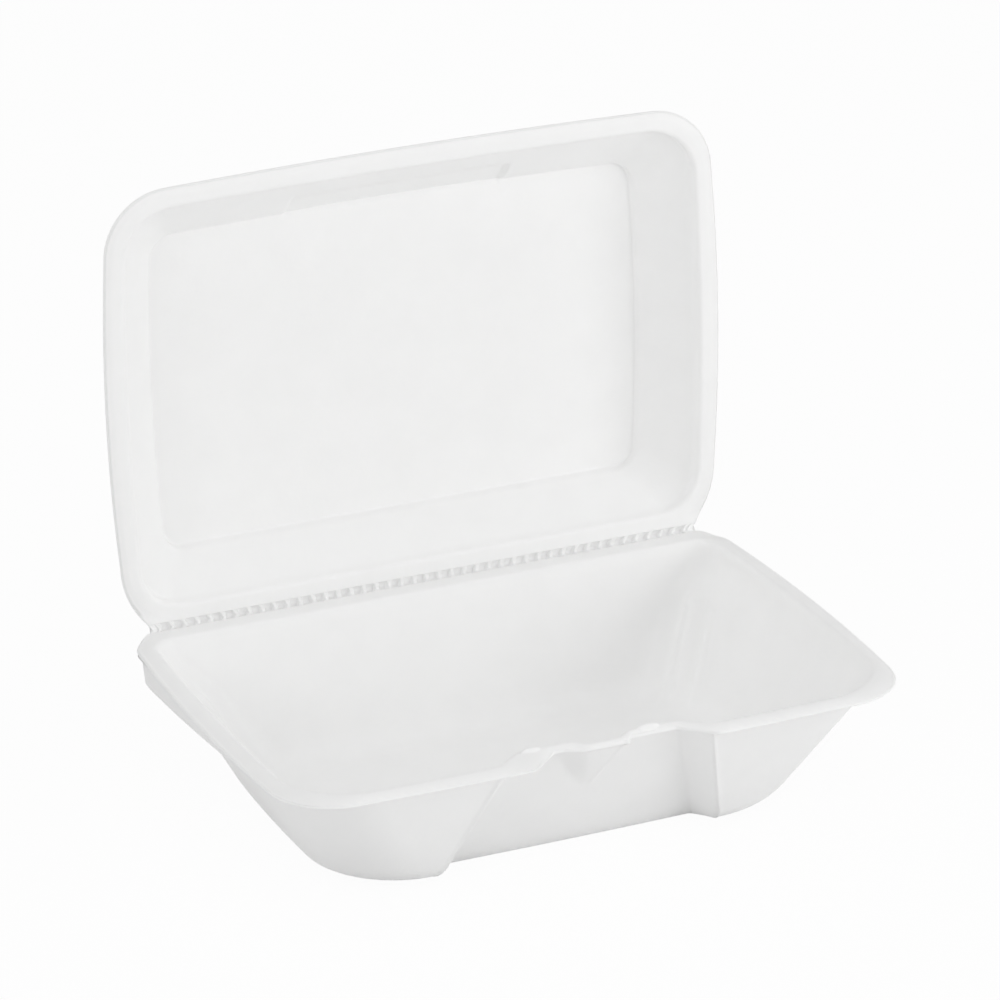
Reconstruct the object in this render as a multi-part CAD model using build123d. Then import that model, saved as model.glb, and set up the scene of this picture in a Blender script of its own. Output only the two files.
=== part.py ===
from build123d import *
import math
import os

# Hinged foam takeaway container, thermoformed from one sheet, standing open.
# Millimetres, +Z up, X along the hinge, -Y to the front. The model is drawn about
# the hinge line, with the lid shut, and moved to its place at the end.

# rim, shared by tray and lid
overall_length = 236.0
overall_depth = 164.7
front_corner = 24.0
side_bow = 2.3
front_bow = 1.4
hinge_end_inset = 8.7
meeting_gap = 0.3
edge_thickness = 1.3
edge_drop = 1.0
crest_round = 1.4

# tray
tray_height = 52.0
tray_sheet = 2.8
tray_flange_side = 7.4
tray_flange_front = 6.4
tray_flange_rear = 9.0
tray_run_side = 26.4
tray_run_front = 28.0
tray_run_rear = 17.5
tray_corner_front = 27.0
tray_corner_rear = 10.0
tray_foot_corner_front = 31.0
tray_foot_corner_rear = 24.0
tray_foot_radius = 15.0
tray_rim_corner = 14.0

# upright band under the tray's rim, full height at the hinge and gone at the front,
# thickened outward at its rear end
band_height = 12.0
band_shelf = 6.0
band_shoulder = 3.0
band_corner = 8.0

# shallow bay in the tray's front wall, with the flange cut back to a narrow lip
bay_half_top = 37.5
bay_half_bottom = 53.0
bay_depth_top = 6.5
bay_depth_bottom = 11.0
bay_side_run_top = 7.0
bay_side_run_bottom = 5.5
bay_foot_radius = 12.0
bay_lip = 1.5

# lock tongue in the bay, and the two lugs on its crest that sit inside the lid's step
tongue_offset = 0.5
tongue_half_top = 11.5
tongue_face_half = 8.0
tongue_stand = 3.4
tongue_drop = 23.0
lug_offset = -4.0
lug_spacing = 44.0
lug_from_front = 11.2
lug_radius = 2.4
lug_height = 1.3

# rib pressed into each rear corner of the tray
rib_radius = 4.0
rib_inset = 2.2
rib_below_rim = 17.0
rib_angle = 28.0

# lid
lid_depth = 25.0
lid_sheet = 2.2
lid_flange_side = 8.4
lid_flange_front = 8.0
lid_flange_rear = 8.6
lid_step = 5.0
lid_step_run = 1.8
lid_wall_run_side = 12.0
lid_wall_run_front = 13.0
lid_wall_run_rear = 9.0
lid_panel_step = 4.0
lid_panel_run = 1.8
lid_corner_front = 17.0
lid_corner_rear = 14.0
lid_panel_corner = 6.0
lid_rim_corner = 25.0

# shallow pocket in the lid's front wall
pocket_half = 42.0
pocket_depth = 1.5
pocket_from_front = 15.0

# living hinge, a thin film bridged by ribs, from the tray's edge up to the lid's
hinge_tray_gap = 1.0
hinge_lid_gap = 2.4
film_thickness = 0.7
hinge_pitch = 4.95
hinge_rib = 1.6

hinge_y = overall_depth / 2
half_length = overall_length / 2
half_gap = meeting_gap / 2
hinge_half_length = half_length - side_bow - hinge_end_inset


def rim_face(inset, z, gap, corner):
    """Outline of a rim, drawn in by inset on all sides but the hinge's.

    Gap is the distance of its straight edge from the hinge line, and corner that of
    the point where the arc to the end of the hinge leaves the side.
    """
    side = half_length - side_bow - inset
    front = -(overall_depth - front_bow - inset)
    radius = front_corner - inset
    reach = corner - gap
    across = hinge_end_inset
    cut = (across ** 2 + reach ** 2) / (2 * across) - inset
    end = side - cut + math.sqrt(max(cut ** 2 - reach ** 2, 0))
    turn = math.asin(min(reach / cut, 1)) / 2
    middle_x = side - cut + cut * math.cos(turn)
    middle_y = -corner + cut * math.sin(turn)
    knee = radius * (1 - math.sqrt(0.5))
    side_middle = (-corner + front + radius) / 2
    with BuildSketch(Plane.XY.offset(z)) as sketch:
        with BuildLine():
            Line((-end, -gap), (end, -gap))
            ThreePointArc((end, -gap), (middle_x, middle_y), (side, -corner))
            ThreePointArc((side, -corner), (side + side_bow, side_middle), (side, front + radius))
            ThreePointArc((side, front + radius), (side - knee, front + knee), (side - radius, front))
            ThreePointArc((side - radius, front), (0, front - front_bow), (radius - side, front))
            ThreePointArc((radius - side, front), (knee - side, front + knee), (-side, front + radius))
            ThreePointArc((-side, front + radius), (-side - side_bow, side_middle), (-side, -corner))
            ThreePointArc((-side, -corner), (-middle_x, middle_y), (-end, -gap))
        make_face()
    return sketch.sketch


def ring(side, front, rear, radius_front, radius_rear, z, side_rear=None):
    """Rounded outline, with each distance measured in from the rim's edge."""
    x = half_length - side_bow - side
    x_rear = x if side_rear is None else half_length - side_bow - side_rear
    y_front = -(overall_depth - front_bow - front)
    x_middle = (x + x_rear) / 2 + side_bow
    with BuildSketch(Plane.XY.offset(z)) as sketch:
        with BuildLine():
            Line((-x_rear, -rear), (x_rear, -rear))
            ThreePointArc((x_rear, -rear), (x_middle, (y_front - rear) / 2), (x, y_front))
            ThreePointArc((x, y_front), (0, y_front - front_bow), (-x, y_front))
            ThreePointArc((-x, y_front), (-x_middle, (y_front - rear) / 2), (-x_rear, -rear))
        make_face()
        fillet(sketch.vertices().sort_by(Axis.Y)[0:2], radius_front)
        fillet(sketch.vertices().sort_by(Axis.Y)[-2:], radius_rear)
    return sketch.sketch.face()


def tray_ring(skin, depth, out, upright, rise=0):
    """Section of the tray at a depth under the rim, let out by out and lifted by rise.

    Upright is how much of the upright band its rear corners keep, from 0 to 1.
    """
    share = depth / tray_height
    walls = []
    for flange, run in (
        (tray_flange_side, tray_run_side),
        (tray_flange_front, tray_run_front),
        (tray_flange_rear, tray_run_rear),
    ):
        draft = math.atan2(run, tray_height)
        walls.append(flange + run * share - (tray_sheet - skin) / math.cos(draft) - out)
    corner_front = tray_corner_front + (tray_foot_corner_front - tray_corner_front) * share
    corner_rear = tray_corner_rear + (tray_foot_corner_rear - tray_corner_rear) * share
    side_rear = walls[0] - tray_run_side * share * upright
    if upright and not skin:
        side_rear = side_rear - band_shoulder
        corner_rear = band_corner
    return ring(*walls, corner_front - skin + out, corner_rear - skin + out, rise - depth, side_rear)


def tray_form(skin):
    """Solid under the tray's rim. Skin is how far its faces lie inside the outer ones."""
    sections = [
        tray_ring(skin, 0, 0, 1),
        tray_ring(skin, band_height, 0, 1, skin / 2),
        tray_ring(skin, band_height + band_shelf, 0, 0),
        tray_ring(skin, tray_height, 0, 0),
    ]
    form = loft(sections, ruled=True)
    if skin:
        floor = Pos(0, -overall_depth / 2, -tray_height) * Box(2 * half_length, overall_depth, 2 * skin)
        form = form - floor
    foot = form.faces().sort_by(Axis.Z)[0].edges()
    form = fillet(foot, tray_foot_radius - skin)
    if skin:
        crest = [
            tray_ring(skin, 0, crest_round, 1),
            tray_ring(skin, crest_round * 0.3, crest_round * 0.5, 1),
            tray_ring(skin, crest_round * 1.2, 0, 1),
        ]
        form = form + loft(crest, ruled=True)
    return form


def bay_face(half, depth, run, front, z, grow):
    """Outline of the bay at a level, open to the front and grown by grow."""
    wall = -(overall_depth - front) - tray_sheet
    back = wall + depth
    out = 40.0
    slope = run / depth
    with BuildSketch(Plane.XY.offset(z)) as sketch:
        with BuildLine():
            Polyline(
                (-half - out * slope, wall - out),
                (half + out * slope, wall - out),
                (half - run, back),
                (-half + run, back),
                close=True,
            )
        make_face()
        if grow:
            offset(amount=grow, kind=Kind.INTERSECTION)
    return sketch.sketch.face()


def bay_top(z, grow):
    """Outline of the bay at the rim."""
    return bay_face(bay_half_top, bay_depth_top, bay_side_run_top, tray_flange_front, z, grow)


def bay_tool(skin):
    """What the bay takes away from the front wall, grown by skin for the inner face."""
    foot = tray_flange_front + tray_run_front
    bottom = bay_face(bay_half_bottom, bay_depth_bottom, bay_side_run_bottom, foot, -tray_height, skin)
    return loft([bay_top(0, skin), bottom], ruled=True)


def tongue_tool(skin):
    """Wedge in the bay that the lid hooks behind. Skin shrinks it for the hollow."""
    wall = -(overall_depth - tray_flange_front) - tray_sheet + bay_depth_top
    back = wall + tray_sheet
    front = wall - tongue_stand
    share = tongue_drop / tray_height
    low_back = back + tray_run_front * share + (bay_depth_bottom - bay_depth_top) * share
    faces = []
    for face_half, half, y_face, y_back, z in (
        (tongue_face_half, tongue_half_top, front, back, 0),
        (0.8, 1.6, low_back - tray_sheet - 0.4, low_back, -tongue_drop),
    ):
        with BuildSketch(Plane.XY.offset(z)) as sketch:
            with BuildLine():
                Polyline(
                    (tongue_offset - face_half, y_face),
                    (tongue_offset + face_half, y_face),
                    (tongue_offset + half, y_back),
                    (tongue_offset - half, y_back),
                    close=True,
                )
            make_face()
        faces.append(sketch.sketch.face())
    wedge = loft(faces, ruled=True)
    if skin:
        wedge = Pos(0, skin, skin * 1.6) * wedge
    return wedge


def corner_ribs(skin):
    """Rounded groove up each rear corner, grown by skin for the inner face."""
    ribs = []
    angle = math.radians(rib_angle)
    for sign in (-1, 1):
        ends = []
        for z in (-rib_below_rim, -tray_height - 2):
            share = -z / tray_height
            side = half_length - side_bow - tray_flange_side + tray_sheet - tray_run_side * share
            rear = -(tray_flange_rear - tray_sheet + tray_run_rear * share)
            corner = tray_corner_rear + (tray_foot_corner_rear - tray_corner_rear) * share
            reach = corner + rib_radius - rib_inset
            x = side - corner + reach * math.cos(angle)
            y = rear - corner + reach * math.sin(angle)
            ends.append(Vector(sign * x, y, z))
        way = ends[1] - ends[0]
        plane = Plane(origin=ends[0], z_dir=way)
        groove = extrude(plane * Circle(rib_radius + skin), way.length)
        ribs.append(groove + Pos(*ends[0]) * Sphere(rib_radius + skin))
    return ribs


def lug_places():
    """The two lugs, left and right of the tongue."""
    y = -(overall_depth - lug_from_front)
    return [(lug_offset + sign * lug_spacing / 2, y) for sign in (-1, 1)]


def dome(place, radius, height, z):
    """Low round dome standing on the level z."""
    ball = (radius ** 2 + height ** 2) / (2 * height)
    x, y = place
    form = Pos(x, y, z + height - ball) * Sphere(ball)
    return form & Pos(x, y, z + height / 2) * Box(4 * radius, 4 * radius, height + 0.02)


def make_tray():
    """Open tray with its flange, front bay, lock tongue and corner ribs."""
    top = -half_gap
    rim = (hinge_tray_gap, tray_rim_corner)
    plate = extrude(rim_face(0, top - edge_drop, *rim), -edge_thickness)
    slope = loft(
        [
            rim_face(0, top - edge_drop, *rim).face(),
            rim_face(tray_flange_front - 1.5 * crest_round, top, *rim).face(),
        ],
        ruled=True,
    )
    outer = tray_form(0) - bay_tool(0)
    panel_foot = outer.edges().filter_by(Axis.X).sort_by(Axis.Z)[0:3].sort_by(Axis.Y)[0]
    outer = fillet(panel_foot, bay_foot_radius)
    inner = tray_form(tray_sheet) - bay_tool(tray_sheet)
    for groove, hollow in zip(corner_ribs(0), corner_ribs(tray_sheet)):
        outer = outer - groove
        inner = inner - hollow
    outer = outer + tongue_tool(0)
    inner = inner + tongue_tool(tray_sheet)
    above = Pos(0, -overall_depth / 2, 20 + top) * Box(2 * overall_length, 2 * overall_depth, 40)
    flange = plate + slope - extrude(bay_top(top - 10, -bay_lip), 20)
    tray = flange + (outer - above) - inner
    for place in lug_places():
        tray = tray + dome(place, lug_radius, lug_height + 0.6, top - 0.6)
    return tray


def lid_levels():
    """Distances in from the rim's edge at each level of the lid, from rim to panel."""
    depth_wall = lid_depth - lid_step - lid_panel_step
    levels = []
    side, front, rear, z = lid_flange_side, lid_flange_front, lid_flange_rear, 0.0
    levels.append((side, front, rear, z))
    z += lid_step
    levels.append((side + lid_step_run, front + lid_step_run, rear + lid_step_run, z))
    z += depth_wall
    side += lid_step_run + lid_wall_run_side
    front += lid_step_run + lid_wall_run_front
    rear += lid_step_run + lid_wall_run_rear
    levels.append((side, front, rear, z))
    z += lid_panel_step
    levels.append((side + lid_panel_run, front + lid_panel_run, rear + lid_panel_run, z))
    return levels


def lid_form(skin):
    """Solid over the lid's rim. Skin is how far its faces lie inside the outer ones."""
    levels = lid_levels()
    sections = []
    count = len(levels) - 1
    out = lid_sheet - skin
    for index, (side, front, rear, z) in enumerate(levels):
        share = index / count
        corner_front = lid_corner_front + (lid_panel_corner - lid_corner_front) * share + out
        corner_rear = lid_corner_rear + (lid_panel_corner - lid_corner_rear) * share + out
        height = z if index == 0 else z - skin * (1.0 if index == count else 0.45)
        sections.append(ring(side - out, front - out, rear - out, corner_front, corner_rear, height))
    form = loft(sections, ruled=True)
    if skin:
        side, front, rear, z = levels[0]
        crest = []
        for let_out, z in ((1.0, 0.0), (0.5, 0.3), (0.0, 1.2)):
            grow = out + crest_round * let_out
            radius = lid_corner_front + grow
            radius_rear = lid_corner_rear + grow
            height = z * crest_round
            crest.append(ring(side - grow, front - grow, rear - grow, radius, radius_rear, height))
        form = form + loft(crest, ruled=True)
    return form


def pocket_tool(skin):
    """Shallow pocket in the lid's front wall, grown by skin for the outer face."""
    levels = lid_levels()
    start = -(overall_depth - pocket_from_front)
    low = levels[1]
    high = levels[2]
    slope = (high[3] - low[3]) / (high[1] - low[1])
    z_start = low[3] + (pocket_from_front - low[1]) * slope
    y_end = -(overall_depth - high[1])
    with BuildSketch(Plane.YZ) as sketch:
        with BuildLine():
            Polyline(
                (start, z_start - 3),
                (start - pocket_depth * 0.4, z_start + pocket_depth),
                (y_end, high[3] + pocket_depth),
                (y_end + 4, high[3] + pocket_depth),
                (y_end + 4, z_start - 3),
                close=True,
            )
        make_face()
        if skin:
            offset(amount=skin, kind=Kind.INTERSECTION)
    return extrude(sketch.sketch, pocket_half + skin, both=True)


def make_lid():
    """Lid, drawn shut over the tray."""
    low = half_gap
    rim = (hinge_lid_gap, lid_rim_corner)
    plate = extrude(rim_face(0, low + edge_drop, *rim), edge_thickness)
    slope = loft(
        [
            rim_face(lid_flange_front - 1.5 * crest_round, low, *rim).face(),
            rim_face(0, low + edge_drop, *rim).face(),
        ],
        ruled=True,
    )
    outer = lid_form(0) + pocket_tool(lid_sheet)
    inner = lid_form(lid_sheet) + pocket_tool(0)
    below = Pos(0, -overall_depth / 2, low - 20) * Box(2 * overall_length, 2 * overall_depth, 40)
    lid = plate + slope + (outer - below) - inner
    return lid


def hinge_band(skip, width):
    """Strip from the tray's edge, round the corner and up to the lid's edge.

    Skip is the part of the full thickness that is left out on the inner side.
    """
    inner = hinge_tray_gap + half_gap
    outer = inner + edge_thickness + edge_drop
    with BuildSketch(Plane.YZ) as sketch:
        with Locations((-hinge_tray_gap, hinge_tray_gap)):
            Circle(outer)
            Circle(inner + skip, mode=Mode.SUBTRACT)
            Rectangle(outer, outer, align=(Align.MIN, Align.MAX), mode=Mode.INTERSECT)
        with Locations((half_gap + skip, hinge_tray_gap)):
            straight = hinge_lid_gap - hinge_tray_gap
            Rectangle(outer - inner - skip, straight, align=(Align.MIN, Align.MIN))
    return extrude(sketch.sketch, width / 2, both=True)


def make_hinge():
    """Film between the two rims, with the ribs that bridge it on the inner side."""
    strip = hinge_band(edge_thickness + edge_drop - film_thickness, 2 * hinge_half_length)
    count = int((2 * hinge_half_length - hinge_rib) / hinge_pitch)
    first = -count * hinge_pitch / 2
    rib = hinge_band(0, hinge_rib)
    for index in range(count + 1):
        strip = strip + Pos(first + index * hinge_pitch, 0, 0) * rib
    return strip


place_part = Pos(0, hinge_y, tray_height)
open_lid = Rot(-90, 0, 0)

nodes = {
    "base_tray": place_part * make_tray(),
    "lid": place_part * open_lid * make_lid(),
    "living_hinge": place_part * make_hinge(),
}

os.makedirs("parts", exist_ok=True)
for name, solid in nodes.items():
    solid.label = name
    export_step(solid, f"parts/{name}.step")
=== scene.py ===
import math

import bpy
from mathutils import Matrix, Vector


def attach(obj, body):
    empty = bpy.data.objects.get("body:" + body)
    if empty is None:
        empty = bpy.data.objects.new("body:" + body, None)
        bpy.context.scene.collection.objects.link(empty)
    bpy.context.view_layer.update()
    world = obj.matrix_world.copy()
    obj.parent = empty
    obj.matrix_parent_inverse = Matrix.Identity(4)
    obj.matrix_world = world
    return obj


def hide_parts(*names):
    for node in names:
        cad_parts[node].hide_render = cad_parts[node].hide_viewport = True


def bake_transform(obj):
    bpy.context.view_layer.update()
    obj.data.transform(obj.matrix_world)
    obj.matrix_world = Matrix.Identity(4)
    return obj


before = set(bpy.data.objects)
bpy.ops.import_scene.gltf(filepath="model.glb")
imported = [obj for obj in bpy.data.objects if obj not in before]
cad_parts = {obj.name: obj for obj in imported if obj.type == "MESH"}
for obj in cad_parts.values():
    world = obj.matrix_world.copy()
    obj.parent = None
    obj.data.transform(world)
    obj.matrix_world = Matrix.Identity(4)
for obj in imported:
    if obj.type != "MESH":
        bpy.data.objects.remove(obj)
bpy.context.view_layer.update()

# The form is worked out in millimetres about the hinge line, with X along the hinge,
# -Y to the front and +Z up, and moved to the part's frame in metres at the end.
# Skin is how far a surface lies inside the outer face: 0 outside, the sheet inside.

# rim, shared by tray and lid
overall_length = 236.0
overall_depth = 164.7
front_corner = 24.0
side_bow = 2.3
front_bow = 1.4
hinge_end_inset = 8.7
meeting_gap = 0.3
edge_thickness = 1.3
edge_drop = 1.0
free_edge_run = 5.0

# tray's flange, rolled down to a thin bead along its free edge
tray_crest_round = 1.7
tray_roll = 1.6
tray_roll_power = 1.8
tray_roll_width = 4.0
tray_edge_span = 7.0
tray_fold = 1.2
tray_under_shares = (0.75, 0.5, 0.3, 0.15)
bead_height = 0.22
bead_inset = 0.7
bead_width = 0.5
bead_front_gap = 12.0

# tray
tray_height = 52.0
tray_sheet = 2.8
tray_flange_side = 7.4
tray_flange_front = 6.4
tray_flange_rear = 9.0
tray_run_side = 26.4
tray_run_front = 28.0
tray_run_rear = 17.5
tray_corner_front = 27.0
tray_corner_rear = 10.0
tray_foot_corner_front = 31.0
tray_foot_corner_rear = 24.0
tray_foot_radius = 15.0
tray_rim_corner = 14.0

# upright band under the tray's rim, full height at the hinge and gone at the front,
# thickened outward at its rear end
band_height = 12.0
band_shelf = 6.0
band_shoulder = 3.0
band_corner = 8.0

# shallow bay in the tray's front wall, with the flange cut back to a narrow lip
bay_half_top = 37.5
bay_half_bottom = 53.0
bay_depth_top = 8.5
bay_depth_bottom = 11.0
bay_side_run_top = 9.0
bay_side_run_bottom = 5.5
bay_ease = 0.5
bay_ease_inside = 0.5
bay_foot = 0.8
bay_reach = 70.0
arris_bead = 0.9
arris_width = 0.8
notch_lip = 1.5
notch_shift = 10.0
notch_ease = 0.3
notch_reach = 60.0

# lock tongue in the bay, with a soft left flank and a raised right edge
tongue_offset = 0.5
tongue_half_top = 11.5
tongue_half_foot = 1.6
tongue_face_half = 8.0
tongue_face_foot = 0.8
tongue_stand = 4.6
tongue_spread = 6.5
tongue_bead = 0.9
tongue_drop = 23.0
tongue_power = 1.5
tongue_trim_inside = 0.4
tongue_ease_inside = 0.3

# the two oval lugs on the bay's crest that sit inside the lid's step
lug_offset = -4.0
lug_spacing = 44.0
lug_from_front = 13.2
lug_half_length = 4.4
lug_half_width = 2.1
lug_height = 1.3
lug_crown = 0.7

# rib pressed into each rear corner of the tray, with a groove on each side of it inside
rib_height = 3.1
rib_half_width_inside = 4.3
rib_half_width_outside = 4.0
rib_below_rim = 15.0
rib_start_run = 5.0
rib_foot_run = 12.0
rib_angle = 28.0
rib_power = 1.1
rib_groove = 1.3
rib_groove_width = 6.0
rib_groove_power = 0.6

# lid
lid_depth = 25.0
lid_sheet = 2.2
lid_flange_side = 8.4
lid_flange_front = 8.0
lid_flange_rear = 8.6
lid_step = 5.0
lid_step_run = 0.8
lid_wall_run_side = 14.0
lid_wall_run_front = 15.0
lid_wall_run_rear = 11.0
lid_panel_step = 4.0
lid_panel_run = 0.8
lid_corner_front = 17.0
lid_corner_rear = 14.0
lid_panel_corner = 6.0
lid_panel_inset = 6.0
lid_inset_corner = 1.0
lid_rim_corner = 25.0
lid_crest_round = 1.9
lid_edge_span = 8.4
lid_fold = 1.0
lid_step_share = 0.45
lid_bend_even = 0.25
lid_bend_start = 0.55
lid_bend_run = 0.4
lid_bend_ease = 0.06
lid_under_shares = (0.8, 0.6, 0.4, 0.2)
lid_roundings_inside = (3.0, 2.4, 0.8)
lid_roundings_outside = (2.6, 2.4, 2.2)

# shallow pocket in the lid's front wall
pocket_half = 42.0
pocket_depth = 2.2
pocket_from_front = 15.0
pocket_side_run = 1.2
pocket_side_ease = 0.2
pocket_top_run = 2.5
pocket_foot_run = 2.0
pocket_ease = 0.5
pocket_margin_top = 1.0
pocket_margin_foot = 3.0

# living hinge
hinge_tray_gap = 1.0
hinge_lid_gap = 2.4
film_thickness = 0.7
hinge_pitch = 4.95
hinge_rib = 1.6
hinge_notch = 1.4
cell_edge = 0.45
cell_ease = 0.12
cell_margin = 0.2

hinge_y = overall_depth / 2
middle_y = -overall_depth / 2
half_length = overall_length / 2
half_gap = meeting_gap / 2
hinge_half_length = half_length - side_bow - hinge_end_inset

# points along each part of a ring: the rear line, a rear corner, a side, a front
# corner and the front, with those of the front closer together over the bay
count_rear = 90
count_corner = 26
count_side = 60
count_front = 214
count_beside = 9
bay_zone = 58.0
bay_zone_margin = 1.5

# rings in each part of a section
steps_floor = 4
steps_foot = 14
steps_wall = 24
steps_crest = 7
steps_tray_flange = 24
steps_lid_flange = 12
steps_edge = 6
steps_fold = 4
foot_start_angle = 18.0
steps_rounding_inside = 7
steps_rounding_outside = 5
rounding_share = 0.45
lid_row_gap_inside = 1.2
lid_row_gap_outside = 1.5

# line in the middle of a floor or panel that its rings close in on
floor_line_half = 62.0
floor_line_y = middle_y + 4.0

# points round the hinge film's section and along each cell
steps_film_arc = 12
steps_film_straight = 4
steps_cell = 20


def lerp(a, b, share):
    return a + (b - a) * share


def ramp(value, run, ease):
    """Rises from 0 to 1 over run, with both ends eased."""
    low = math.sqrt(value * value + ease * ease)
    high = math.sqrt((value - run) ** 2 + ease * ease)
    return (low - high + run) / (2 * run)


def smooth(share):
    """The share kept within 0 and 1 and eased at both ends."""
    share = min(1.0, max(0.0, share))
    return share * share * (3 - 2 * share)


def bell(distance, width):
    """1 at no distance, falling away smoothly over a width."""
    return math.exp(-((distance / width) ** 2))


def corner_arc(centre, radius, start, stop):
    """Points of a corner's arc, both ends left out, with angles in degrees."""
    points = []
    for index in range(count_corner):
        angle = math.radians(lerp(start, stop, (index + 1) / (count_corner + 1)))
        points.append((centre[0] + radius * math.cos(angle), centre[1] + radius * math.sin(angle)))
    return points


def line_points(start, end, count):
    """Points from start to end, both kept."""
    shares = [index / (count - 1) for index in range(count)]
    return [(lerp(start[0], end[0], share), lerp(start[1], end[1], share)) for share in shares]


def front_places(half):
    """Places along the front from half to -half, close together over the bay."""
    zone = min(bay_zone, half - bay_zone_margin)
    inside = count_front - 2 * count_beside
    places = [lerp(half, zone, index / count_beside) for index in range(count_beside)]
    places += [lerp(zone, -zone, index / (inside - 1)) for index in range(inside)]
    places += [lerp(-zone, -half, (index + 1) / count_beside) for index in range(count_beside)]
    return places


def ring(side, front, rear, radius_front, radius_rear, side_rear=None):
    """Rounded outline with bowed sides, each distance measured in from the rim's edge.

    It starts at the left end of the rear line and runs round by the right side.
    """
    x = half_length - side_bow - side
    x_rear = x if side_rear is None else half_length - side_bow - side_rear
    y_front = -(overall_depth - front_bow - front)
    y_rear = -rear
    top = y_rear - radius_rear
    low = y_front + radius_front
    lean = math.degrees(math.atan2(x_rear - x, y_rear - y_front))
    right = corner_arc((x_rear - radius_rear, top), radius_rear, 90, -lean)
    right += line_points((x_rear, top), (x, low), count_side)
    right += corner_arc((x - radius_front, low), radius_front, -lean, -90)
    left = [(-px, py) for px, py in reversed(right)]
    rear_line = line_points((radius_rear - x_rear, y_rear), (x_rear - radius_rear, y_rear), count_rear)
    front_line = [(px, y_front) for px in front_places(x - radius_front)]
    points = []
    for px, py in rear_line + right + front_line + left:
        along = (py - (y_front + y_rear) / 2) / ((y_rear - y_front) / 2)
        across = px / x
        bow = side_bow * max(0.0, 1 - along * along)
        dip = front_bow * max(0.0, 1 - across * across) * max(0.0, -along)
        points.append((px + bow * across, py - dip))
    return points


def rim_ring(gap, corner):
    """Outline of a rim, with the same count of points as ring."""
    side = half_length - side_bow
    front = -(overall_depth - front_bow)
    across = side - hinge_half_length
    reach = corner - gap
    arc_radius = (across ** 2 + reach ** 2) / (2 * across)
    turn = math.degrees(math.asin(min(reach / arc_radius, 1)))
    low = front + front_corner
    right = corner_arc((side - arc_radius, -corner), arc_radius, turn, 0)
    for px, py in line_points((side, -corner), (side, low), count_side):
        share = (py + corner) / (low + corner)
        right.append((px + side_bow * 4 * share * (1 - share), py))
    right += corner_arc((side - front_corner, low), front_corner, 0, -90)
    left = [(-px, py) for px, py in reversed(right)]
    rear_line = line_points((-hinge_half_length, -gap), (hinge_half_length, -gap), count_rear)
    front_line = []
    for px in front_places(side - front_corner):
        across = px / (side - front_corner)
        front_line.append((px, front - front_bow * (1 - across * across)))
    return rear_line + right + front_line + left


def blend_rings(a, b, share):
    return [(lerp(p[0], q[0], share), lerp(p[1], q[1], share)) for p, q in zip(a, b)]


def lift(points, z):
    """Ring at a height; z is a number or a list with one for each point."""
    if isinstance(z, (int, float)):
        return [(p[0], p[1], z) for p in points]
    return [(p[0], p[1], height) for p, height in zip(points, z)]


def floor_rings(edge):
    """Level rings from a ring in to the line along the middle."""
    rings = []
    for index in range(1, steps_floor + 1):
        share = 1 - index / (steps_floor + 0.5)
        level = []
        for px, py, z in edge:
            line_x = min(floor_line_half, max(-floor_line_half, px))
            level.append((lerp(line_x, px, share), lerp(floor_line_y, py, share), edge[0][2]))
        rings.append(level)
    return rings


def free_edge(rim, gap):
    """For each point of a rim, 0 where it meets the hinge, rising to 1 away from it."""
    return [smooth((-q[1] - gap) / free_edge_run) for q in rim]


def edge_rings(crest, rim, free, starts, end, span):
    """Rounded edge of a flange, from a height for each point round to one for all."""
    rings = []
    for step in range(steps_edge + 1):
        angle = math.pi / 2 - math.pi * step / steps_edge
        level = []
        for p, q, away, start in zip(crest, rim, free, starts):
            half = (start - end) / 2
            share = 1 - away * abs(half) * (1 - math.cos(angle)) / span
            z = end + half + half * math.sin(angle)
            level.append((lerp(p[0], q[0], share), lerp(p[1], q[1], share), z))
        rings.append(level)
    return rings


def skin_mesh(name, rings, place, turned=False):
    """Closed mesh through rings of one count of points, capped at both ends.

    Turned is for rings that run the other way, so that the faces look outwards.
    """
    count = len(rings[0])
    verts = [place @ Vector(p) for each in rings for p in each]
    faces = []
    for row in range(len(rings) - 1):
        for index in range(count):
            after = (index + 1) % count
            a = row * count + index
            b = row * count + after
            faces.append((a, b, b + count, a + count))
    faces.append(tuple(range(count - 1, -1, -1)))
    last = (len(rings) - 1) * count
    faces.append(tuple(range(last, last + count)))
    mesh = bpy.data.meshes.new(name)
    mesh.from_pydata(verts, [], faces)
    mesh.validate()
    if turned:
        mesh.flip_normals()
    mesh.update()
    for polygon in mesh.polygons:
        polygon.use_smooth = True
    piece = bpy.data.objects.new(name, mesh)
    bpy.context.collection.objects.link(piece)
    return piece


def wall_place(flange, run, depth, skin):
    """How far in from the rim's edge a drafted wall lies at a depth, foot rounding included.

    Also gives how much of that is the rounding's.
    """
    draft = math.atan2(run, tray_height)
    shift = (tray_sheet - skin) / math.cos(draft)
    straight = flange + run * depth / tray_height - shift
    radius = tray_foot_radius - skin
    floor_depth = tray_height - skin
    corner = flange + run * floor_depth / tray_height - shift
    tangent = radius * math.tan((math.pi / 2 - draft) / 2)
    below = (depth - floor_depth + radius) / radius
    if below <= math.sin(draft):
        return straight, 0.0
    rounded = corner + tangent - radius * math.sqrt(max(0.0, 1 - below * below))
    return rounded, rounded - straight


def band_share(depth, skin):
    """How upright the tray's wall is at a depth: 1 in the band, 0 below it.

    Inside, it fades evenly from the rim down, so that no edge shows there.
    """
    if skin:
        return smooth(1 - depth / (band_height + band_shelf - 1))
    return smooth(1 - (depth - band_height) / band_shelf)


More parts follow.
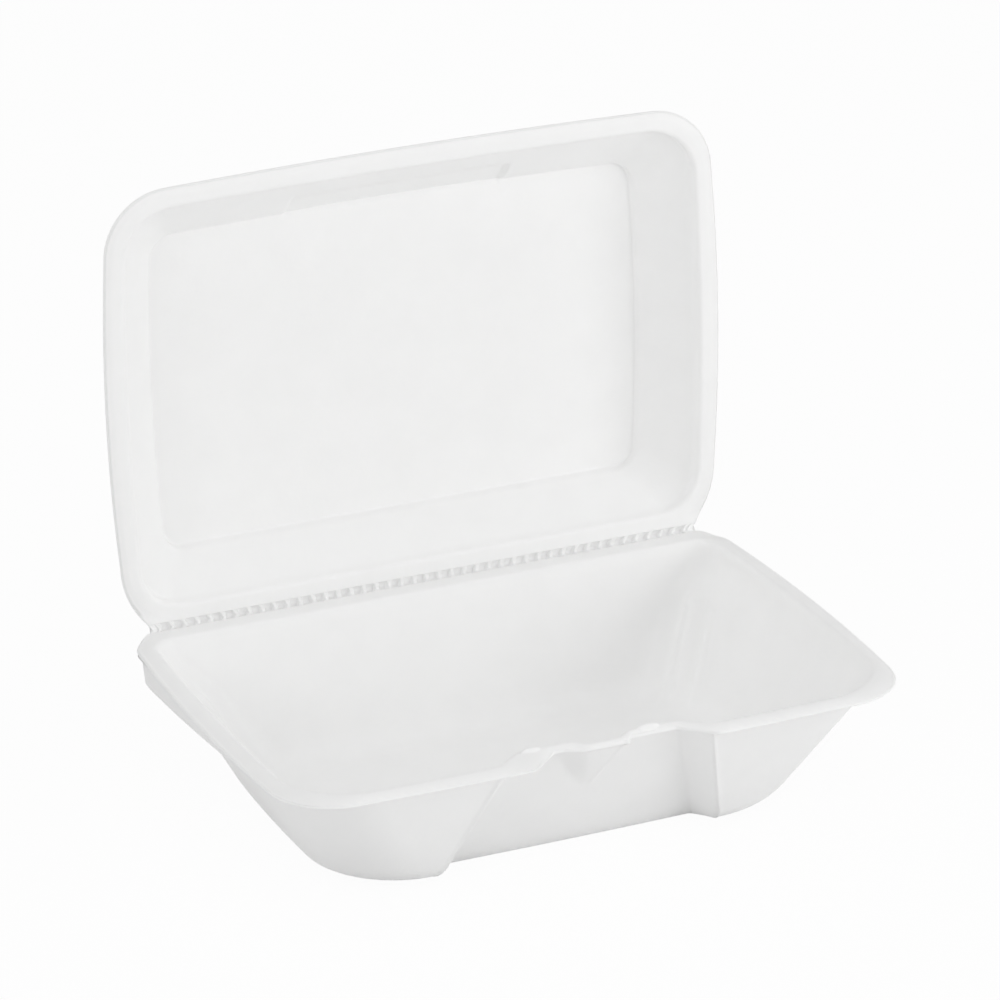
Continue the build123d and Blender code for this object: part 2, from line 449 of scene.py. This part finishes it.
def bay_depth(x, depth, skin):
    """How far the bay sets the front wall back."""
    share = depth / tray_height
    half = lerp(bay_half_top, bay_half_bottom, share)
    back = lerp(bay_depth_top, bay_depth_bottom, share)
    run = lerp(bay_side_run_top, bay_side_run_bottom, share)
    slope = run / back
    half += skin * (math.sqrt(1 + slope * slope) - slope)
    bead = 0.0 if skin else arris_bead * bell(abs(x) - half, arris_width)
    return back * ramp(half - abs(x), run, bay_ease + bay_ease_inside * skin) - bead


def tongue_reach(x, depth, skin):
    """How far the lock tongue stands out of the bay."""
    share = depth / (tongue_drop - skin)
    if share >= 1:
        return 0.0
    trim = tongue_trim_inside * skin
    half = lerp(tongue_half_top, tongue_half_foot, share) - trim
    face = lerp(tongue_face_half, tongue_face_foot, share) - trim
    away = x - tongue_offset
    bead = 0.0
    if away < 0 and not skin:
        half += tongue_spread * math.sqrt(1 - share)
    if away > 0 and not skin:
        bead = tongue_bead * math.sqrt(1 - share) * bell(away - face, arris_width)
    reach = tongue_stand * (1 - share ** tongue_power)
    ease = bay_ease + tongue_ease_inside * skin
    return reach * ramp(half - abs(away), half - face, ease) + bead


def shape_front(point, depth, skin, foot_extra):
    """A point of the tray's wall, moved where it lies in the bay or on the tongue.

    The foot's rounding is smaller under the bay.
    """
    px, py = point
    if py >= middle_y or abs(px) >= bay_reach:
        return point
    set_back = bay_depth(px, depth, skin)
    py += set_back - tongue_reach(px, depth, skin)
    if not skin:
        py -= bay_foot * foot_extra * min(1.0, max(0.0, set_back / bay_depth_bottom))
    return px, py


def press_ribs(points, centre, radius, height, skin):
    """Presses a rounded rib inwards in each rear corner, about an arc at the right."""
    angle = math.radians(rib_angle)
    way = (math.cos(angle), math.sin(angle))
    foot = (centre[0] + radius * way[0], centre[1] + radius * way[1])
    half_width = rib_half_width_inside if skin else rib_half_width_outside
    pressed = []
    for px, py in points:
        sign = 1 if px > 0 else -1
        along = abs(-(sign * px - foot[0]) * way[1] + (py - foot[1]) * way[0])
        beside = (along - half_width) / rib_groove_width
        bump = 0.0
        if py >= middle_y and along < half_width:
            bump = height * math.cos(math.pi / 2 * along / half_width) ** rib_power
        elif py >= middle_y and skin and beside < 1:
            groove = rib_groove * height / rib_height
            bump = -groove * math.sin(math.pi * beside ** rib_groove_power)
        pressed.append((px - sign * way[0] * bump, py - way[1] * bump))
    return pressed


def tray_section(depth, skin, out=0.0):
    """Ring of the tray's wall at a depth, with the bay, the tongue and the ribs."""
    share = depth / tray_height
    upright = band_share(depth, skin)
    side, side_extra = wall_place(tray_flange_side, tray_run_side, depth, skin)
    front, front_extra = wall_place(tray_flange_front, tray_run_front, depth, skin)
    rear, rear_extra = wall_place(tray_flange_rear, tray_run_rear, depth, skin)
    radius_front = lerp(tray_corner_front, tray_foot_corner_front, share) - skin
    radius_rear = lerp(tray_corner_rear, tray_foot_corner_rear, share) - skin
    radius_front -= (side_extra + front_extra) / 2
    radius_rear -= (side_extra + rear_extra) / 2
    side_rear = side - tray_run_side * share * upright
    if not skin:
        side_rear -= band_shoulder * upright
        radius_rear = lerp(radius_rear, band_corner, upright)
    points = ring(
        side - out,
        front - out,
        rear - out,
        radius_front + out,
        radius_rear + out,
        side_rear - out,
    )
    points = [shape_front(point, depth, skin, front_extra) for point in points]
    fade = 1.0 - min(1.0, max(0.0, side_extra / rib_foot_run))
    height = rib_height * smooth((depth - rib_below_rim) / rib_start_run) * fade
    if height > 0:
        centre = (half_length - side_bow - side - radius_rear, -rear - radius_rear)
        points = press_ribs(points, centre, radius_rear, height, skin)
    return points


def foot_depth(floor_depth, radius, share):
    """Depth on the foot's rounding, from where it starts (0) to the floor (1)."""
    angle = math.radians(lerp(foot_start_angle, 90, share))
    return floor_depth - radius * (1 - math.sin(angle))


def tray_inside(top):
    """Rings of the tray's inner face, from the floor up to its rounded crest."""
    radius = tray_foot_radius - tray_sheet
    floor_depth = tray_height - tray_sheet
    depths = [foot_depth(floor_depth, radius, step / steps_foot) for step in range(steps_foot, 0, -1)]
    start = foot_depth(floor_depth, radius, 0)
    depths += [lerp(start, tray_crest_round, (step + 1) / steps_wall) for step in range(steps_wall)]
    rings = [lift(tray_section(depth, tray_sheet), -depth) for depth in depths]
    for step in range(1, steps_crest + 1):
        angle = math.pi / 2 * step / steps_crest
        depth = tray_crest_round * (1 - math.sin(angle))
        out = tray_crest_round * (1 - math.cos(angle))
        rings.append(lift(tray_section(depth, tray_sheet, out), top - depth))
    return rings


def notch_edge(x, y):
    """The tray's front edge at x, cut back over the bay to a narrow lip and the tongue."""
    slope = bay_side_run_top / bay_depth_top
    wall = tray_flange_front - tray_sheet
    half = bay_half_top + wall * slope - notch_lip * math.sqrt(1 + slope * slope)
    if x < 0:
        half -= notch_shift
    back = wall + bay_depth_top - notch_lip
    cut = ramp(half - abs(x), back * slope, notch_ease)
    back = min(back, wall + bay_depth_top - tongue_reach(x, 0, 0))
    return lerp(y, back - overall_depth, cut)


def lug_dome(x, y):
    """Height of the low oval lugs over the rim at a place."""
    total = 0.0
    for sign in (-1, 1):
        along = x - lug_offset - sign * lug_spacing / 2
        away = math.hypot(along / lug_half_length, (y + overall_depth - lug_from_front) / lug_half_width)
        if away < 1:
            total += lug_height * (1 - away ** 2) ** lug_crown
    return total


def tray_flange(crest, rim, free, top, under):
    """Rings of the flange: level beside the crest, then rolled down to its rounded edge."""
    widths = [math.hypot(p[0] - q[0], p[1] - q[1]) for p, q in zip(crest, rim)]
    falls = [tray_roll * away * min(1.0, width / tray_roll_width) for width, away in zip(widths, free)]
    rings = []
    for step in range(1, steps_tray_flange + 1):
        share = step / (steps_tray_flange + 1)
        level = []
        for (x, y), fall, width, away in zip(blend_rings(crest, rim, share), falls, widths, free):
            bead = bead_height * away * bell(width * (1 - share) - bead_inset, bead_width)
            if y < bead_front_gap - overall_depth:
                bead = 0.0
            level.append((x, y, top - fall * share ** tray_roll_power + bead + lug_dome(x, y)))
        rings.append(level)
    starts = [top - fall for fall in falls]
    return rings + edge_rings(crest, rim, free, starts, under, tray_edge_span)


def tray_outside(under):
    """Rings of the tray's outer face, from the fold under the flange down to its foot."""
    rings = []
    for step in range(steps_fold + 1):
        angle = math.pi / 2 * step / steps_fold
        drop = tray_fold * (1 - math.cos(angle))
        out = tray_fold * (1 - math.sin(angle))
        rings.append(lift(tray_section(drop - under, 0, out), under - drop))
    begin = tray_fold - under
    start = foot_depth(tray_height, tray_foot_radius, 0)
    depths = [lerp(begin, start, (step + 1) / steps_wall) for step in range(steps_wall)]
    for step in range(1, steps_foot + 1):
        depths.append(foot_depth(tray_height, tray_foot_radius, step / steps_foot))
    return rings + [lift(tray_section(depth, 0), -depth) for depth in depths]


def tray_rings():
    """All rings of the tray, from the middle of its inside round the edge to its underside."""
    rim = []
    for px, py in rim_ring(hinge_tray_gap, tray_rim_corner):
        in_notch = py < middle_y and abs(px) < notch_reach
        rim.append((px, notch_edge(px, py) if in_notch else py))
    top = -half_gap
    under = top - edge_drop - edge_thickness
    inner = tray_inside(top)
    crest = [(p[0], p[1]) for p in inner[-1]]
    flange = tray_flange(crest, rim, free_edge(rim, hinge_tray_gap), top, under)
    outer_top = tray_section(-under, 0)
    below = [lift(blend_rings(outer_top, rim, share), under) for share in tray_under_shares]
    outer = tray_outside(under)
    return floor_rings(inner[0])[::-1] + inner + flange + below + outer + floor_rings(outer[-1])


def lid_levels():
    """Distances in from the rim's edge at each level of the lid, from rim to panel."""
    side, front, rear, z = lid_flange_side, lid_flange_front, lid_flange_rear, 0.0
    levels = [(side, front, rear, z)]
    z += lid_step
    side, front, rear = side + lid_step_run, front + lid_step_run, rear + lid_step_run
    levels.append((side, front, rear, z))
    z += lid_depth - lid_step - lid_panel_step
    side, front, rear = side + lid_wall_run_side, front + lid_wall_run_front, rear + lid_wall_run_rear
    levels.append((side, front, rear, z))
    z += lid_panel_step
    levels.append((side + lid_panel_run, front + lid_panel_run, rear + lid_panel_run, z))
    return levels


def pocket_shift(x, y):
    """How far the lid's front wall is pushed out at its pocket."""
    start = pocket_from_front - overall_depth
    end = lid_levels()[2][1] - overall_depth
    if not start - pocket_margin_top < y < end + pocket_margin_foot:
        return 0.0
    across = ramp(pocket_half - abs(x), pocket_side_run, pocket_side_ease)
    along = ramp(y - start, pocket_top_run, pocket_ease)
    along *= ramp(end + pocket_foot_run - y, pocket_foot_run, pocket_ease)
    return pocket_depth * max(0.0, across) * max(0.0, along)


def lid_surface(skin):
    """Rows of (side, front, rear, z, radius_front, radius_rear) from the crest to the panel."""
    rows = []
    levels = lid_levels()
    count = len(levels) - 1
    out = lid_sheet - skin
    for index, (side, front, rear, z) in enumerate(levels):
        share = index / count
        radius_front = lerp(lid_corner_front, lid_panel_corner, share) + out
        radius_rear = lerp(lid_corner_rear, lid_panel_corner, share) + out
        if index == count:
            z -= skin
        elif index:
            z -= lid_step_share * skin
        rows.append((side - out, front - out, rear - out, z, radius_front, radius_rear))
    return rows


def round_path(rows, radii, steps):
    """The rows of lid_surface with the corners between them rounded.

    The radii are measured in the plane of the side's distance and z, and the other
    values follow in proportion.
    """
    path = [rows[0]]
    for before, here, after, radius in zip(rows, rows[1:], rows[2:], radii):
        run_in = math.hypot(here[0] - before[0], here[3] - before[3])
        run_out = math.hypot(after[0] - here[0], after[3] - here[3])
        cut = min(radius, rounding_share * run_in, rounding_share * run_out)
        start = [lerp(h, b, cut / run_in) for h, b in zip(here, before)]
        end = [lerp(h, a, cut / run_out) for h, a in zip(here, after)]
        for step in range(steps + 1):
            t = step / steps
            weights = ((1 - t) ** 2, 2 * t * (1 - t), t * t)
            bend = [weights[0] * s + weights[1] * h + weights[2] * e for s, h, e in zip(start, here, end)]
            path.append(tuple(bend))
    path.append(rows[-1])
    return path


def lid_wall(skin, rim_height, radii, steps, row_gap):
    """Close rows from a height near the rim to just inside the panel's edge."""
    rows = lid_surface(skin)
    first = rows[0][:3] + (rim_height,) + rows[0][4:]
    panel = rows[-1]
    inset = tuple(value + lid_panel_inset for value in panel[:3])
    corners = tuple(radius - lid_panel_corner + lid_inset_corner for radius in panel[4:])
    path = round_path([first] + rows[1:] + [inset + panel[3:4] + corners], radii, steps)
    close = []
    for a, b in zip(path, path[1:]):
        parts = max(1, int(math.hypot(b[0] - a[0], b[3] - a[3]) / row_gap))
        for part in range(parts):
            close.append(tuple(lerp(p, q, part / parts) for p, q in zip(a, b)))
    close.append(path[-1])
    return close


def lid_ring(row):
    """Ring of a row, with the pocket."""
    side, front, rear, z, radius_front, radius_rear = row
    points = ring(side, front, rear, radius_front, radius_rear)
    return lift(points, [z + pocket_shift(px, py) for px, py in points])


def wider_ring(row, out):
    """Outline of a row, moved outwards by a distance."""
    side, front, rear = row[:3]
    radius_front, radius_rear = row[4:]
    return ring(side - out, front - out, rear - out, radius_front + out, radius_rear + out)


def lid_inside(low):
    """Rings of the lid's inner face, from its panel down to its rounded crest."""
    wall = lid_wall(
        lid_sheet,
        lid_crest_round,
        lid_roundings_inside,
        steps_rounding_inside,
        lid_row_gap_inside,
    )
    rings = [lid_ring(row) for row in reversed(wall)]
    for step in range(1, steps_crest + 1):
        angle = math.pi / 2 * step / steps_crest
        z = low + lid_crest_round * (1 - math.sin(angle))
        out = lid_crest_round * (1 - math.cos(angle))
        rings.append(lift(wider_ring(wall[0], out), z))
    return rings


def lid_flange(crest, rim, free, low, over):
    """Rings of the lid's flange: nearly level, then bent up near its rounded edge."""
    rings = []
    for step in range(1, steps_lid_flange + 1):
        share = step / (steps_lid_flange + 1)
        bend = ramp(share - lid_bend_start, lid_bend_run, lid_bend_ease)
        bent = lid_bend_even * share + (1 - lid_bend_even) * bend
        heights = [low + edge_drop * away * bent for away in free]
        rings.append(lift(blend_rings(crest, rim, share), heights))
    starts = [low + edge_drop * away for away in free]
    return rings + edge_rings(crest, rim, free, starts, over, lid_edge_span)


def lid_rings():
    """All rings of the lid, drawn shut, from the middle of its inside round to its outside."""
    rim = rim_ring(hinge_lid_gap, lid_rim_corner)
    low = half_gap
    over = low + edge_drop + edge_thickness
    inner = lid_inside(low)
    crest = [(p[0], p[1]) for p in inner[-1]]
    flange = lid_flange(crest, rim, free_edge(rim, hinge_lid_gap), low, over)
    wall = lid_wall(
        0,
        over + lid_fold,
        lid_roundings_outside,
        steps_rounding_outside,
        lid_row_gap_outside,
    )
    outer_top = wider_ring(wall[0], lid_fold)
    below = [lift(blend_rings(outer_top, rim, share), over) for share in lid_under_shares]
    outer = []
    for step in range(steps_fold + 1):
        angle = math.pi / 2 * step / steps_fold
        rise = lid_fold * (1 - math.cos(angle))
        out = lid_fold * (1 - math.sin(angle))
        outer.append(lift(wider_ring(wall[0], out), over + rise))
    outer += [lid_ring(row) for row in wall[1:]]
    return floor_rings(inner[0])[::-1] + inner + flange + below + outer + floor_rings(outer[-1])


def cell_share(row_x):
    """1 in a cell of the hinge film, 0 on a rib and at the film's ends."""
    count = int((2 * hinge_half_length - hinge_rib) / hinge_pitch)
    first = -count * hinge_pitch / 2
    if not first - 1 < row_x < 1 - first:
        return 0.0
    phase = abs(((row_x - first) / hinge_pitch + 0.5) % 1 - 0.5) * hinge_pitch
    end = max(0.0, min(1.0, hinge_half_length - abs(row_x)))
    return end * ramp(phase - hinge_rib / 2 + cell_margin, cell_edge, cell_ease)


def hinge_rings():
    """Sections of the film round the hinge line, with ribs, cells and cut-back ends."""
    inner = hinge_tray_gap + half_gap
    outer = inner + edge_thickness + edge_drop
    cell_depth = edge_thickness + edge_drop - film_thickness
    straight = hinge_lid_gap - hinge_tray_gap
    steps = steps_film_arc + steps_film_straight
    count = int((2 * hinge_half_length - hinge_rib) / hinge_pitch)
    rows = steps_cell * (count + 2)
    rings = []
    for index in range(rows + 1):
        row_x = lerp(-hinge_half_length, hinge_half_length, index / rows)
        line_in = []
        line_out = []
        for step in range(steps + 1):
            bulge = math.sin(math.pi * step / steps) if 0 < step < steps else 0.0
            radius = inner + cell_depth * cell_share(row_x) * bulge ** 0.5
            x = row_x * (1 - hinge_notch * bulge / hinge_half_length)
            angle = math.radians(lerp(-90, 0, min(1.0, step / steps_film_arc)))
            rise = hinge_tray_gap + straight * max(0, step - steps_film_arc) / steps_film_straight
            for line, reach in ((line_in, radius), (line_out, outer)):
                y = reach * math.cos(angle) - hinge_tray_gap
                line.append((x, y, rise + reach * math.sin(angle)))
        rings.append(line_in + line_out[::-1])
    return rings


def foam_material(name, tint):
    """Matt white foam: faint mottling of its skin and a very fine grain."""
    material = bpy.data.materials.new(name)
    material.use_nodes = True
    tree = material.node_tree
    shader = tree.nodes["Principled BSDF"]
    shader.inputs["Roughness"].default_value = 0.55
    shader.inputs["Specular IOR Level"].default_value = 0.3
    coords = tree.nodes.new("ShaderNodeTexCoord")
    cloud = tree.nodes.new("ShaderNodeTexNoise")
    cloud.inputs["Scale"].default_value = 70.0
    cloud.inputs["Detail"].default_value = 3.0
    grain = tree.nodes.new("ShaderNodeTexVoronoi")
    grain.inputs["Scale"].default_value = 900.0
    colour = tree.nodes.new("ShaderNodeValToRGB")
    colour.color_ramp.elements[0].position = 0.3
    colour.color_ramp.elements[0].color = tuple(v * 0.985 for v in tint) + (1.0,)
    colour.color_ramp.elements[1].position = 0.7
    colour.color_ramp.elements[1].color = tint + (1.0,)
    bump_low = tree.nodes.new("ShaderNodeBump")
    bump_low.inputs["Strength"].default_value = 0.10
    bump_low.inputs["Distance"].default_value = 0.0012
    bump_fine = tree.nodes.new("ShaderNodeBump")
    bump_fine.inputs["Strength"].default_value = 0.08
    bump_fine.inputs["Distance"].default_value = 0.0003
    links = tree.links
    links.new(coords.outputs["Object"], cloud.inputs["Vector"])
    links.new(coords.outputs["Object"], grain.inputs["Vector"])
    links.new(cloud.outputs["Fac"], colour.inputs["Fac"])
    links.new(colour.outputs["Color"], shader.inputs["Base Color"])
    links.new(cloud.outputs["Fac"], bump_low.inputs["Height"])
    links.new(grain.outputs["Distance"], bump_fine.inputs["Height"])
    links.new(bump_low.outputs["Normal"], bump_fine.inputs["Normal"])
    links.new(bump_fine.outputs["Normal"], shader.inputs["Normal"])
    return material


def seen_rays(tree):
    """Socket that is 1 for rays of the camera, of reflections and of glass, and else 0."""
    path = tree.nodes.new("ShaderNodeLightPath")
    either = tree.nodes.new("ShaderNodeMath")
    either.operation = "MAXIMUM"
    any_of_all = tree.nodes.new("ShaderNodeMath")
    any_of_all.operation = "MAXIMUM"
    tree.links.new(path.outputs["Is Camera Ray"], either.inputs[0])
    tree.links.new(path.outputs["Is Glossy Ray"], either.inputs[1])
    tree.links.new(either.outputs[0], any_of_all.inputs[0])
    tree.links.new(path.outputs["Is Transmission Ray"], any_of_all.inputs[1])
    return any_of_all.outputs[0]


def floor_material(name):
    """Matt white that the camera sees nearly as plain white, with the shadow kept."""
    material = bpy.data.materials.new(name)
    material.use_nodes = True
    tree = material.node_tree
    matt = tree.nodes["Principled BSDF"]
    matt.inputs["Base Color"].default_value = (0.9, 0.9, 0.9, 1.0)
    matt.inputs["Roughness"].default_value = 0.9
    matt.inputs["Specular IOR Level"].default_value = 0.1
    glow = tree.nodes.new("ShaderNodeEmission")
    glow.inputs["Color"].default_value = (1.0, 1.0, 1.0, 1.0)
    glow.inputs["Strength"].default_value = 1.0
    share = tree.nodes.new("ShaderNodeMath")
    share.operation = "MULTIPLY"
    share.inputs[1].default_value = 0.95
    mix = tree.nodes.new("ShaderNodeMixShader")
    tree.links.new(seen_rays(tree), share.inputs[0])
    tree.links.new(share.outputs[0], mix.inputs[0])
    tree.links.new(matt.outputs[0], mix.inputs[1])
    tree.links.new(glow.outputs[0], mix.inputs[2])
    tree.links.new(mix.outputs[0], tree.nodes["Material Output"].inputs["Surface"])
    return material


def studio_world(name):
    """Soft light all round, plain white where the camera sees it."""
    world = bpy.data.worlds.new(name)
    world.use_nodes = True
    tree = world.node_tree
    soft = tree.nodes["Background"]
    soft.inputs["Color"].default_value = (1.0, 1.0, 1.0, 1.0)
    soft.inputs["Strength"].default_value = 0.39
    seen = tree.nodes.new("ShaderNodeBackground")
    seen.inputs["Color"].default_value = (1.0, 1.0, 1.0, 1.0)
    seen.inputs["Strength"].default_value = 1.0
    mix = tree.nodes.new("ShaderNodeMixShader")
    tree.links.new(seen_rays(tree), mix.inputs[0])
    tree.links.new(soft.outputs[0], mix.inputs[1])
    tree.links.new(seen.outputs[0], mix.inputs[2])
    tree.links.new(mix.outputs[0], tree.nodes["World Output"].inputs["Surface"])
    return world


def add_lamp(light, azimuth, elevation, distance):
    """Lamp turned to the object's middle; the azimuth is from the front, to the right."""
    middle = Vector((0, 0, 0.08))
    turn = math.radians(azimuth)
    rise = math.radians(elevation)
    way = Vector((math.sin(turn) * math.cos(rise), -math.cos(turn) * math.cos(rise), math.sin(rise)))
    lamp = bpy.data.objects.new(light.name, light)
    lamp.location = middle + way * distance
    lamp.rotation_euler = way.to_track_quat("Z", "Y").to_euler()
    bpy.context.collection.objects.link(lamp)


def soft_lamp(name, azimuth, elevation, level):
    """Wide soft lamp far off; a level of 1 shows a white face turned to it as white."""
    light = bpy.data.lights.new(name, "SUN")
    light.energy = math.pi * level
    light.angle = math.radians(50)
    add_lamp(light, azimuth, elevation, 3.0)


def near_lamp(name, azimuth, elevation, power):
    """Square soft box at arm's length."""
    light = bpy.data.lights.new(name, "AREA")
    light.shape = "SQUARE"
    light.size = 1.0
    light.energy = power
    add_lamp(light, azimuth, elevation, 1.5)


def paint(piece, material):
    piece.data.materials.clear()
    piece.data.materials.append(material)


# pieces, with the lid drawn shut and turned open about the hinge line
scale = Matrix.Scale(0.001, 4)
to_hinge = Matrix.Translation((0, hinge_y * 0.001, tray_height * 0.001))
to_open = to_hinge @ Matrix.Rotation(math.radians(-90), 4, "X")

tray = skin_mesh("tray_shell", tray_rings(), to_hinge @ scale)
lid = skin_mesh("lid_shell", lid_rings(), to_open @ scale, turned=True)
hinge = skin_mesh("hinge_film", hinge_rings(), to_hinge @ scale, turned=True)

foam = foam_material("foam", (0.94, 0.94, 0.937))
for piece in (tray, lid, hinge):
    paint(piece, foam)
for node in ("base_tray", "lid", "living_hinge"):
    solid = bpy.data.objects.get(node)
    if solid is not None:
        paint(solid, foam)

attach(tray, "base")
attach(lid, "lid")
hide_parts("base_tray")
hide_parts("lid")
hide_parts("living_hinge")
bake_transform(hinge)

# floor and backdrop
bpy.ops.mesh.primitive_plane_add(size=12.0, location=(0, 0, 0))
floor = bpy.context.object
floor.name = "floor"
paint(floor, floor_material("floor_white"))
bpy.context.scene.world = studio_world("studio")

# lamps
near_lamp("front_right", 45, 6, 10.0)
near_lamp("front_left", -45, 30, 4.2)
near_lamp("side_left", -75, 6, 2.0)
near_lamp("side_right", 75, 30, 0.8)
soft_lamp("top", 0, 85, 0.155)
soft_lamp("rear", -135, 50, 0.06)

# camera, fitted to the photograph
camera_data = bpy.data.cameras.new("camera")
camera = bpy.data.objects.new("camera", camera_data)
bpy.context.collection.objects.link(camera)
camera_data.sensor_fit = "HORIZONTAL"
camera_data.sensor_width = 36.0
camera_data.lens = 196.66
camera_data.clip_start = 0.05
camera_data.clip_end = 50.0
right = Vector((0.9186, -0.3944, -0.0244)).normalized()
backward = right.cross(Vector((0.1684, 0.3349, 0.9271))).normalized()
up = backward.cross(right).normalized()
place = Matrix((right, up, backward)).transposed().to_4x4()
place.translation = Vector((-0.6773, -1.60915, 0.8172))
camera.matrix_world = place
bpy.context.scene.camera = camera

bpy.context.scene.view_settings.view_transform = "Standard"
